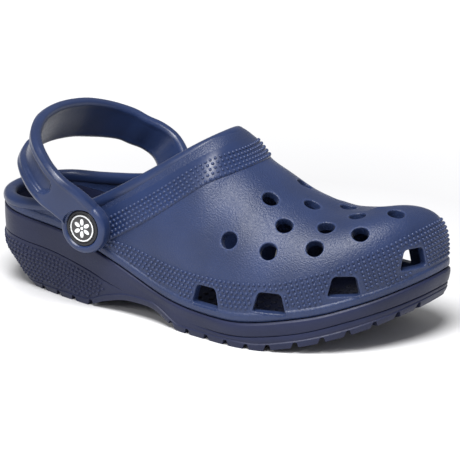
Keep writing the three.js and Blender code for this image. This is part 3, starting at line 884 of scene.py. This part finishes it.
def walk(points, spacing, start):
    """Places spaced evenly along an open or closed run of points."""
    length = np.concatenate([[0], np.cumsum(np.linalg.norm(np.diff(points, axis=0), axis=1))])
    at = np.arange(start, length[-1], spacing)
    return [Vector([np.interp(a, length, points[:, k]) for k in range(3)]) for a in at]


def collar_dots():
    places = []
    for k in range(COLLAR_ROWS):
        row = collar_row(BAND_TOP + 1.6 * MM + k * ROW_PITCH)
        closed = np.vstack([row, row[:1]])
        for place in walk(closed, DOT_PITCH, DOT_PITCH / 2 * (k % 2)):
            t = place.x / HALF_LENGTH
            if t < COLLAR_DOTS_START:
                continue
            normal = dome_normal(place)
            lift = (BAND_LIFT - 0.1 * MM) * float(ramp(t, *BAND_FADE))
            places.append((place + normal * lift, normal))
    return dotted("collar_dots", places)


def arc_row(height):
    """The line on the dome at an arc length up from the seam, which may change along the clog."""
    row = np.zeros((BARE_DOME.shape[1], 3))
    steps = np.linalg.norm(np.diff(BARE_DOME, axis=0), axis=2)
    length = np.vstack([np.zeros(BARE_DOME.shape[1]), np.cumsum(steps, axis=0)])
    for i in range(BARE_DOME.shape[1]):
        up = height(BARE_DOME[0, i, 0] / HALF_LENGTH)
        for k in range(3):
            row[i, k] = np.interp(up, length[:, i], BARE_DOME[:, i, k])
    return row


def in_port(place, margin):
    for side, t, rise in PORTS:
        point, across, outward = port_place(side, t, rise)
        gap = place - point
        if abs(gap.dot(outward)) > 14 * MM:
            continue
        x, y = abs(gap.dot(across)), gap.z
        wide = PORT_WIDTH / 2 - PORT_TAPER * (y / PORT_HEIGHT + 0.5)
        if x < wide + margin and abs(y) < PORT_HEIGHT / 2 + margin:
            return True
    return False


DOTS_FOOT = 7.4 * MM  # the lowest dots stand clear of the ledge
PORT_MARGIN = 1.9 * MM  # and all of them clear of the ports


def toe_dots():
    """Rows that follow the top of the dotted wall round the toe, down to the ledge."""
    places = []
    for k in range(TOE_ROWS):
        row = arc_row(lambda t: toe_dots_top(t) - k * ROW_PITCH)
        closed = np.vstack([row, row[:1]])
        for place in walk(closed, DOT_PITCH, DOT_PITCH / 2 * (k % 2)):
            t = place.x / HALF_LENGTH
            above = toe_dots_top(t) - k * ROW_PITCH
            if t < TOE_DOTS_START or above < DOTS_FOOT or in_port(place, PORT_MARGIN):
                continue
            places.append((place, dome_normal(place)))
    return dotted("toe_dots", places)


# ---- sole ----
SOLE_PLAN = plan_ring(190)
LUG_HEIGHT = 3.9 * MM
LUG_STANDOFF = 0.7 * MM
HEEL_GROOVE, FORE_GROOVE = 0.75 * MM, 0.65 * MM  # depths of the groove along the line
GROOVE_HALF = 0.42 * MM
HEEL_ENDS, FORE_STARTS = (-0.34, -0.2), (0.1, 0.34)  # stations between which each one's form fades
BEAD_SWELL, FLUTE_SWELL = 0.8 * MM, 0.35 * MM  # the forefoot's rounded side, over and under the line
SEAM_TUCK = 0.8 * MM
# Stations of the notches on both sides: the heel, then the forefoot and round the toe.
NOTCHES = [
    -0.8, -0.705, -0.607, -0.51, -0.42, 0.03, 0.117, 0.212, 0.308, 0.403, 0.498, 0.593, 0.69, 0.776,
    0.857, 0.921, 0.967,
]
TIP_NOTCH = 0.988  # on the inner side only, where the toe is fullest
NOTCH_START, NOTCH_LENGTH = 5 * MM, 18 * MM
SHARE_IN = smooth_curve([[0, 1], [0.08, 0.72], [0.26, 0.36], [0.54, 0], [1, 0]], unit=1, soften=0.02)
FURTHER_IN = smooth_curve([[0, 0], [0.26, 0.2], [0.54, 0.6], [0.85, 0.05], [1, 0]], soften=0.02)


def sole_wall_levels(t):
    """Heights of the wall's rings at stations t, closer together at each groove."""
    low, lug, mark, top = ground(t), ground(t) + LUG_HEIGHT, line(t), seam(t) - PART_GAP / 2
    mark = np.maximum(mark, lug + 1.9 * MM)
    levels = [low + (lug - low) * s for s in (0, 0.12, 0.3, 0.55, 0.8, 0.93)]
    levels += [lug, lug + 0.35 * MM, lug + 0.7 * MM]
    levels += [lug + 0.7 * MM + (mark - 1.1 * MM - lug - 0.7 * MM) * s for s in np.linspace(0, 1, 9)[1:]]
    levels += [mark + d * MM for d in (-0.75, -0.45, -0.2, 0, 0.2, 0.45, 0.75, 1.1)]
    start, end = mark + 1.1 * MM, top - 1.4 * MM
    levels += [start + (end - start) * s for s in np.linspace(0, 1, 10)[1:]]
    levels += [top - d * MM for d in (1.05, 0.75, 0.5, 0.25, 0)]
    return levels, lug, mark


def sole_relief(t, z, lug, mark):
    """How far the wall stands out from its plain form: lugs, grooves and rounded beads."""
    fore, heel = ramp(t, *FORE_STARTS), 1 - ramp(t, *HEEL_ENDS)
    lugs = LUG_STANDOFF * (1 - ramp(z, lug - 0.3 * MM, lug + 0.5 * MM))
    groove = -(HEEL_GROOVE * heel + FORE_GROOVE * fore) * bump((z - mark) / GROOVE_HALF)
    bead = (z - mark) / np.maximum(seam(t) - mark, 1 * MM)
    swell = BEAD_SWELL * fore * np.clip(np.sin(pi * np.clip(bead, 0, 1)), 0, 1) ** 0.7
    lower = (z - lug) / np.maximum(mark - lug, 1 * MM)
    swell += FLUTE_SWELL * fore * np.sin(pi * np.clip(lower, 0, 1))
    tuck = -SEAM_TUCK * ramp(z, seam(t) - 1.5 * MM, seam(t)) ** 2
    return lugs + groove + swell + tuck


def wall_rings():
    t = SOLE_PLAN[0][:, 0] / HALF_LENGTH
    levels, lug, mark = sole_wall_levels(t)
    rings = []
    for z in levels:
        rise = (z - ground(t)) / (seam(t) - ground(t))
        inset = SHARE_IN(rise) * tread_inset(t) + FURTHER_IN(rise) - sole_relief(t, z, lug, mark)
        q = inset_ring(SOLE_PLAN, inset)
        rings.append(np.column_stack([q, z]))
    return rings


def cove_rings():
    """The top of the wall, its inside and the rounded corner down to the footbed."""
    inset = BEAD_STANDOFF + WALL
    reach, rise = 11 * MM, 5 * MM
    segments = 8

    def cove_top(t):
        return np.minimum(footbed(t) + rise, seam(t) - 0.6 * MM)

    def wall_inside(t, share):
        return seam(t) * (1 - share) + cove_top(t) * share - PART_GAP / 2

    def corner(t, turn):
        return cove_top(t) - PART_GAP / 2 - (cove_top(t) - footbed(t)) * sin(turn)

    rings = [flat_ring(SOLE_PLAN, inset * s + BEAD_STANDOFF * (1 - s), lambda t: seam(t) - PART_GAP / 2)
             for s in (0.5, 0.9, 1)]
    rings += [flat_ring(SOLE_PLAN, inset, partial(wall_inside, share=s)) for s in (0.1, 0.4, 0.7, 1)]
    for k in range(1, segments + 1):
        turn = pi / 2 * k / segments
        rings.append(flat_ring(SOLE_PLAN, inset + reach * (1 - cos(turn)), partial(corner, turn=turn)))
    return rings


def notch(bm, point, outward, low):
    """A flared V across the edge of the tread, from outside the wall inwards."""
    across = Vector((0, 0, 1)).cross(outward).normalized()
    section = [(-2.6, -2), (2.6, -2), (2.3, 0), (1.35, 2.6), (0.8, 3.5), (-0.8, 3.5), (-1.35, 2.6),
               (-2.3, 0)]
    start = point + outward * NOTCH_START
    prism(bm, [start + across * x * MM + Vector((0, 0, low + y * MM)) for x, y in section],
          outward * -NOTCH_LENGTH)


def cut_treads(bm):
    for side, stations in ((OUTER, NOTCHES), (INNER, [*NOTCHES, TIP_NOTCH])):
        for t in stations:
            point, outward = edge_at(side, t)
            notch(bm, point, outward, float(ground(t)))


def sole_moulding():
    wall = wall_rings()
    foot = wall[0]
    bottom = [towards_middle(foot, s) for s in (1, 0.8, 0.6, 0.4, 0.25, 0.12)]
    for ring in bottom[1:]:
        ring[:, 2] = ground(ring[:, 0] / HALF_LENGTH)
    cove = cove_rings()
    bed = [towards_middle(cove[-1], s) for s in (0.2, 0.45, 0.7, 0.9, 1)]
    for ring in bed:
        ring[:, 2] = footbed(ring[:, 0] / HALF_LENGTH) - PART_GAP / 2
    bottom[0][:, 2] = ground(bottom[0][:, 0] / HALF_LENGTH)
    bm = bmesh.new()
    lay_skin(bm, np.array([*bottom, *wall, *cove, *bed]))
    face_outwards(bm)
    sole = new_piece("sole_moulding", bm)
    cutters = bmesh.new()
    cut_treads(cutters)
    face_outwards(cutters)
    carve(sole, new_piece("tread_notches", cutters, smooth=False), crossing=True)
    shade(sole, 32)
    return sole


def heel_dots():
    """Dots on the base of the heel, under its line."""
    points, outward = SOLE_PLAN
    t = points[:, 0] / HALF_LENGTH
    places = []
    for k in range(HEEL_ROWS):
        z = line(t) - 3.4 * MM - k * ROW_PITCH
        rise = (z - ground(t)) / (seam(t) - ground(t))
        q = inset_ring(SOLE_PLAN, SHARE_IN(rise) * tread_inset(t) + FURTHER_IN(rise))
        row = np.column_stack([q, z])
        facing = np.column_stack([outward, np.full(len(t), -0.2)])
        start = len(row) // 4
        row = np.roll(row, start, axis=0)
        facing = np.roll(facing, start, axis=0)[:2 * start]
        row = row[:2 * start]
        length = np.concatenate([[0], np.cumsum(np.linalg.norm(np.diff(row, axis=0), axis=1))])
        for at in np.arange(DOT_PITCH / 2 * (k % 2), length[-1], DOT_PITCH):
            place = Vector([np.interp(at, length, row[:, c]) for c in range(3)])
            normal = Vector([np.interp(at, length, facing[:, c]) for c in range(3)]).normalized()
            here = place.x / HALF_LENGTH
            if here > HEEL_DOTS_END or place.z < float(ground(here)) + LUG_HEIGHT + 1.6 * MM:
                continue
            places.append((place, normal))
    return dotted("heel_dots", places)


def footbed_nubs():
    """Low massage nubs in staggered rows over the heel and the ball of the footbed."""
    places = []
    pitch, inset = 8 * MM, 20 * MM
    for row, x in enumerate(np.arange(-0.118, 0.1, pitch * 0.87)):
        t = x / HALF_LENGTH
        if -0.35 < t < 0.05:
            continue
        left, right = edge_at(OUTER, t)[0].y, edge_at(INNER, t)[0].y
        for y in np.arange(left + inset + pitch / 2 * (row % 2), right - inset, pitch):
            places.append((Vector((x, y, float(footbed(t)) - PART_GAP / 2)), Vector((0, 0, 1))))
    bm = bmesh.new()
    add_domes(bm, places, 2 * MM, 0.4, u_segments=12, v_segments=6)
    return new_piece("footbed_nubs", bm, sharp=60)


# ---- heel strap ----
KNOB_RADIUS = 16 * MM
KNOB_LOW, KNOB_HIGH = 49.4 * MM, 58.1 * MM  # from the strap's mid-plane
BORE_RADIUS = 4.3 * MM  # round the rivet's shank
COUNTERBORE_RADIUS, COUNTERBORE_FLOOR = 11.3 * MM, 54.9 * MM
HALF_SPAN = (KNOB_LOW + KNOB_HIGH) / 2
STRAP_HALF = 3.5 * MM
DRAWN_HEEL = 88 * MM  # from the pivot back to the heel, as the points below are drawn
# Half of the band, in mm: [back from the pivot, share of the half span, up, half width along X, along Z].
BAND = [
    [2, 1, 7, 10, 7.5], [8, 1.12, 15.3, 9.8, 8.2], [16.5, 1.2, 22.6, 9.2, 8.6],
    [25, 1.17, 28.2, 8.6, 9], [32.8, 1.08, 32.2, 7.8, 9.6], [38.8, 1, 36, 7, 10.4],
    [46, 0.85, 39.4, 6.4, 11.6], [52, 0.65, 42.3, 6.2, 12.6], [56.5, 0.42, 44.6, 6.4, 13],
    [59.5, 0, 45.8, 6.4, 13.2],
]


def band_frames(steps):
    """Centres, half widths, and outward directions along the strap, from the outer knob round."""
    run = (PIVOT.x + HALF_LENGTH) / DRAWN_HEEL * MM
    half = [(PIVOT.x - back * run, -share * HALF_SPAN, PIVOT.z + up * MM, wx * MM, wz * MM)
            for back, share, up, wx, wz in BAND]
    whole = half + [(x, -y, z, wx, wz) for x, y, z, wx, wz in half[-2::-1]]
    curve = catmull_rom(whole, steps, closed=False)
    centres, widths = curve[:, :3], curve[:, 3:]
    wide = np.column_stack([widths[:, 0], np.zeros(len(widths)), widths[:, 1]])
    along = np.gradient(centres, axis=0)
    along /= np.linalg.norm(along, axis=1)[:, None]
    out = np.cross(along, wide)
    out /= np.linalg.norm(out, axis=1)[:, None]
    towards = centres - np.array([PIVOT.x, 0, PIVOT.z])
    out *= np.sign(np.sum(out * towards, axis=1))[:, None]
    return centres, wide, out


SLOT_END = 25 * MM  # the recess starts this far along the strap from the pivot
LIP = 6.9 * MM  # width of the lips on both sides of the recess
RECESS_DEPTH, BEAD_HEIGHT, INNER_LIP_DEPTH = 2.9 * MM, 0.9 * MM, 0.5 * MM
END_THICKENING = 0.85 * MM  # added to half the thickness where the band runs into a knob


def strap_relief(v, wide, along, length):
    """Outer face of the strap, from its plain face: beaded edges and a long round-ended recess."""
    half = wide * np.ones_like(v)
    from_edge = (1 - np.abs(v)) * half
    slot_half = half - LIP
    beyond = np.maximum(0, SLOT_END + slot_half - np.minimum(along, length - along))
    inside = slot_half - np.hypot(np.abs(v) * half, beyond)
    recess = -RECESS_DEPTH * ramp(inside, -0.2 * MM, 0.7 * MM)
    bead = BEAD_HEIGHT * bump((from_edge - 2.7 * MM) / (1.6 * MM))
    return recess + bead


def band_skin(bm):
    """The band as a closed skin, a rounded oblong in section."""
    centres, wide, out = band_frames(16)
    length = np.concatenate([[0], np.cumsum(np.linalg.norm(np.diff(centres, axis=0), axis=1))])
    angles = np.linspace(0, 2 * pi, 72, endpoint=False)
    rings = []
    for k, centre in enumerate(centres):
        half = np.linalg.norm(wide[k])
        across = wide[k] / half
        v = np.sign(np.cos(angles)) * np.abs(np.cos(angles)) ** 0.55
        n = np.sign(np.sin(angles)) * np.abs(np.sin(angles)) ** 0.42
        near_end = 1 - ramp(min(length[k], length[-1] - length[k]), 4 * MM, 22 * MM)
        offset = n * (STRAP_HALF + END_THICKENING * near_end)
        offset += np.clip(n, 0, 1) * strap_relief(v, half, length[k], length[-1])
        inner_lip = -INNER_LIP_DEPTH * bump(((1 - np.abs(v)) * half - 2.5 * MM) / (2 * MM))
        offset += np.clip(-n, 0, 1) * inner_lip * (1 - near_end)
        rings.append(centre + across * (v * half)[:, None] + out[k] * offset[:, None])
    lay_skin(bm, rings, close_ends=True, merge=1e-7)


def knob_profile():
    return rounded_profile([
        (0, KNOB_LOW, 0), (KNOB_RADIUS, KNOB_LOW, 2.2 * MM), (KNOB_RADIUS, KNOB_HIGH, 3.4 * MM),
        (12.4 * MM, KNOB_HIGH + 0.1 * MM, 1 * MM), (0, KNOB_HIGH, 0)], segments=6)


def strap_moulding():
    """The band and both knobs as one moulding: grown together, smoothed, then bored for the rivets."""
    bm = bmesh.new()
    band_skin(bm)
    for side in (OUTER, INNER):
        turned(bm, knob_profile(), side)
    face_outwards(bm)
    strap = new_piece("strap_moulding", bm)
    grow = strap.modifiers.new("grow", "REMESH")
    grow.mode = "VOXEL"
    grow.voxel_size = 0.56 * MM
    grow.use_smooth_shade = True
    ease = strap.modifiers.new("ease", "SMOOTH")
    ease.factor = 0.5
    ease.iterations = 4
    apply_modifiers(strap)
    for side in (OUTER, INNER):
        bore = bmesh.new()
        turned(bore, rounded_profile([
            (0, KNOB_LOW - 4 * MM, 0), (BORE_RADIUS, KNOB_LOW - 4 * MM, 0),
            (BORE_RADIUS, COUNTERBORE_FLOOR, 0), (COUNTERBORE_RADIUS, COUNTERBORE_FLOOR, 0),
            (COUNTERBORE_RADIUS, KNOB_HIGH - 0.7 * MM, 0), (12.2 * MM, KNOB_HIGH + 0.25 * MM, 0),
            (12.2 * MM, KNOB_HIGH + 4 * MM, 0), (0, KNOB_HIGH + 4 * MM, 0)]), side)
        face_outwards(bore)
        carve(strap, new_piece("bore", bore, smooth=False))
    shade(strap, 38)
    return strap


# ---- rivets ----
HEAD_THICKNESS = 2.6 * MM
LAND_RADIUS, LAND_THICKNESS = 9.5 * MM, 8.4 * MM


def span(name):
    """Distances of a CAD piece's two faces from the strap's mid-plane, and its radius."""
    low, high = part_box(name)
    near, far = sorted((abs(low.y), abs(high.y)))
    return near, far, (high.x - low.x) / 2


def lathe_piece(name, corners, side, segments=5):
    bm = bmesh.new()
    turned(bm, rounded_profile(corners, segments), side)
    face_outwards(bm)
    return new_piece(name, bm, sharp=40)


def rivet_set(label, side):
    """One side's stud, badge, washer and socket, sized from their CAD solids."""
    tip, face, radius = span(f"rivet_stud_{label}")
    badge_back, badge_face, badge_radius = span(f"rivet_badge_{label}")
    seat = face - HEAD_THICKNESS
    pocket, floor = badge_radius + PART_GAP, badge_back - PART_GAP
    stud = lathe_piece(f"stud_{label}", [
        (0, tip, 0), (3.4 * MM, tip, 0.3 * MM), (4 * MM, tip + 1 * MM, 0.4 * MM), (4 * MM, seat, 0),
        (radius, seat, 0.5 * MM), (radius, face, 0.6 * MM), (pocket, face, 0.2 * MM), (pocket, floor, 0),
        (0, floor, 0)], side)
    dress(stud, RIVET_PLASTIC, CLOG, "rivet_plastic", f"rivet_stud_{label}")
    badge = lathe_piece(f"badge_{label}", [
        (0, badge_back, 0), (badge_radius, badge_back, 0), (badge_radius, badge_face, 0.3 * MM),
        (0, badge_face, 0)], side)
    dress(badge, BADGE_GROUND, CLOG, "badge_print", f"rivet_badge_{label}")
    dress(badge_flower(label, side, badge_face, badge_radius), BADGE_PRINT, CLOG, "badge_print")
    inside, outside, wide = span(f"strap_washer_{label}")
    washer = lathe_piece(f"washer_{label}", [
        (BORE_RADIUS, inside, 0), (wide, inside, 0.3 * MM), (wide, outside, 0.3 * MM),
        (BORE_RADIUS, outside, 0), (BORE_RADIUS, inside, 0)], side)
    dress(washer, RIVET_PLASTIC, CLOG, "rivet_plastic", f"strap_washer_{label}")
    end, rest, socket_radius = span(f"rivet_socket_{label}")
    socket = lathe_piece(f"socket_{label}", [
        (0, end, 0), (2.2 * MM, end, 0.2 * MM), (2.8 * MM, end + 0.5 * MM, 0.2 * MM),
        (5.5 * MM, end + 0.4 * MM, 0.4 * MM), (socket_radius, rest - 1.8 * MM, 0.9 * MM),
        (socket_radius, rest, 0.2 * MM), (BORE_RADIUS, rest, 0), (BORE_RADIUS, end + 1.2 * MM, 0),
        (0, end + 1.2 * MM, 0)], side)
    dress(socket, RIVET_PLASTIC, CLOG, "rivet_plastic", f"rivet_socket_{label}")


def badge_flower(label, side, face, radius):
    """A plain ring and a six-petal flower, standing just proud of the badge."""
    bm = bmesh.new()
    lift = 0.12 * MM
    inside, outside = radius - 1.45 * MM, radius - 0.7 * MM
    turned(bm, [(inside, face - lift), (outside, face - lift), (outside, face + lift),
                (inside, face + lift), (inside, face - lift)], side)
    to_face = Matrix.Rotation(pi / 2, 4, "X")
    centre = Matrix.Translation((PIVOT.x, side * face, PIVOT.z))
    for k in range(6):
        turn = Matrix.Rotation(k * pi / 3 + pi / 6, 4, "Z")
        petal = Matrix.Translation((3.8 * MM, 0, 0)) @ Matrix.Diagonal((2.2, 1.3, 1, 1))
        bmesh.ops.create_cone(bm, cap_ends=True, segments=24, radius1=1 * MM, radius2=0.9 * MM,
                              depth=2 * lift, matrix=centre @ to_face @ turn @ petal)
    bmesh.ops.create_cone(bm, cap_ends=True, segments=24, radius1=1.1 * MM, radius2=1 * MM,
                          depth=2 * lift, matrix=centre @ to_face)
    face_outwards(bm)
    return new_piece(f"badge_flower_{label}", bm, sharp=30)


def rivet_land(label, side):
    """The foam land that the washer bears on, proud of the wall."""
    face = span(f"strap_washer_{label}")[0] - PART_GAP
    back = face - LAND_THICKNESS
    return lathe_piece(f"rivet_land_{label}", [
        (BORE_RADIUS, back, 0), (LAND_RADIUS, back, 0), (LAND_RADIUS, face, 0.6 * MM),
        (BORE_RADIUS, face, 0.3 * MM), (BORE_RADIUS, back, 0)], side)


# ---- assembly ----
dress(upper_shell(), UPPER_FOAM, CLOG, "upper_foam", "upper")
for make in (collar_rim, collar_band, collar_dots, toe_dots):
    dress(make(), RIM_FOAM, CLOG, "upper_foam")
dress(sole_moulding(), SOLE_FOAM, CLOG, "sole_foam", "sole")
dress(heel_dots(), SOLE_FOAM, CLOG, "sole_foam")
dress(footbed_nubs(), FOOTBED_FOAM, CLOG, "sole_foam")
dress(strap_moulding(), STRAP_FOAM, STRAP, "strap_foam", "heel_strap")
for label, side in (("outer", OUTER), ("inner", INNER)):
    dress(rivet_land(label, side), UPPER_FOAM, CLOG, "upper_foam")
    rivet_set(label, side)


# ---- floor and light ----
def floor_with_painted_glow():
    bm = bmesh.new()
    bmesh.ops.create_grid(bm, x_segments=1, y_segments=1, size=6)
    floor = new_piece("floor", bm, smooth=False)
    material, tree, shader = finish_with("studio floor", (0.74, 0.74, 0.75), 0.85, shine=0.1)
    # Painted light: the floor glows white by its own emission, with none within 0.3 m of the middle and
    # full strength at 1.1 m, so it brightens away from the clog.
    span_out = node(tree, "ShaderNodeVectorMath")
    span_out.operation = "LENGTH"
    tree.links.new(tree.nodes["place"].outputs["Object"], span_out.inputs[0])
    painted_glow = ranged(tree, span_out.outputs["Value"], 0.3, 1.1, 0, 1)
    shader.inputs["Emission Color"].default_value = (1, 1, 1, 1)
    tree.links.new(painted_glow, shader.inputs["Emission Strength"])
    floor.data.materials.append(material)


def soft_box(name, direction, distance, size, watts):
    lamp = bpy.data.lights.new(name, "AREA")
    lamp.shape = "DISK"
    lamp.size = size
    lamp.energy = watts
    lamp_object = bpy.data.objects.new(name, lamp)
    place = Vector(direction).normalized() * distance + Vector((0, 0, 0.04))
    aim = (-Vector(direction)).to_track_quat("-Z", "Y")
    lamp_object.matrix_world = Matrix.Translation(place) @ aim.to_matrix().to_4x4()
    bpy.context.scene.collection.objects.link(lamp_object)


def studio():
    world = bpy.data.worlds.new("studio")
    world.use_nodes = True
    world.node_tree.nodes["Background"].inputs["Color"].default_value = (1, 1, 1, 1)
    world.node_tree.nodes["Background"].inputs["Strength"].default_value = 0.3
    bpy.context.scene.world = world
    bpy.context.scene.view_settings.view_transform = "Standard"
    soft_box("key", (0.12, -0.42, 0.9), 1.3, 0.75, 27)
    soft_box("front fill", (-0.15, -0.85, 0.5), 1.4, 0.4, 3.5)


floor_with_painted_glow()
studio()
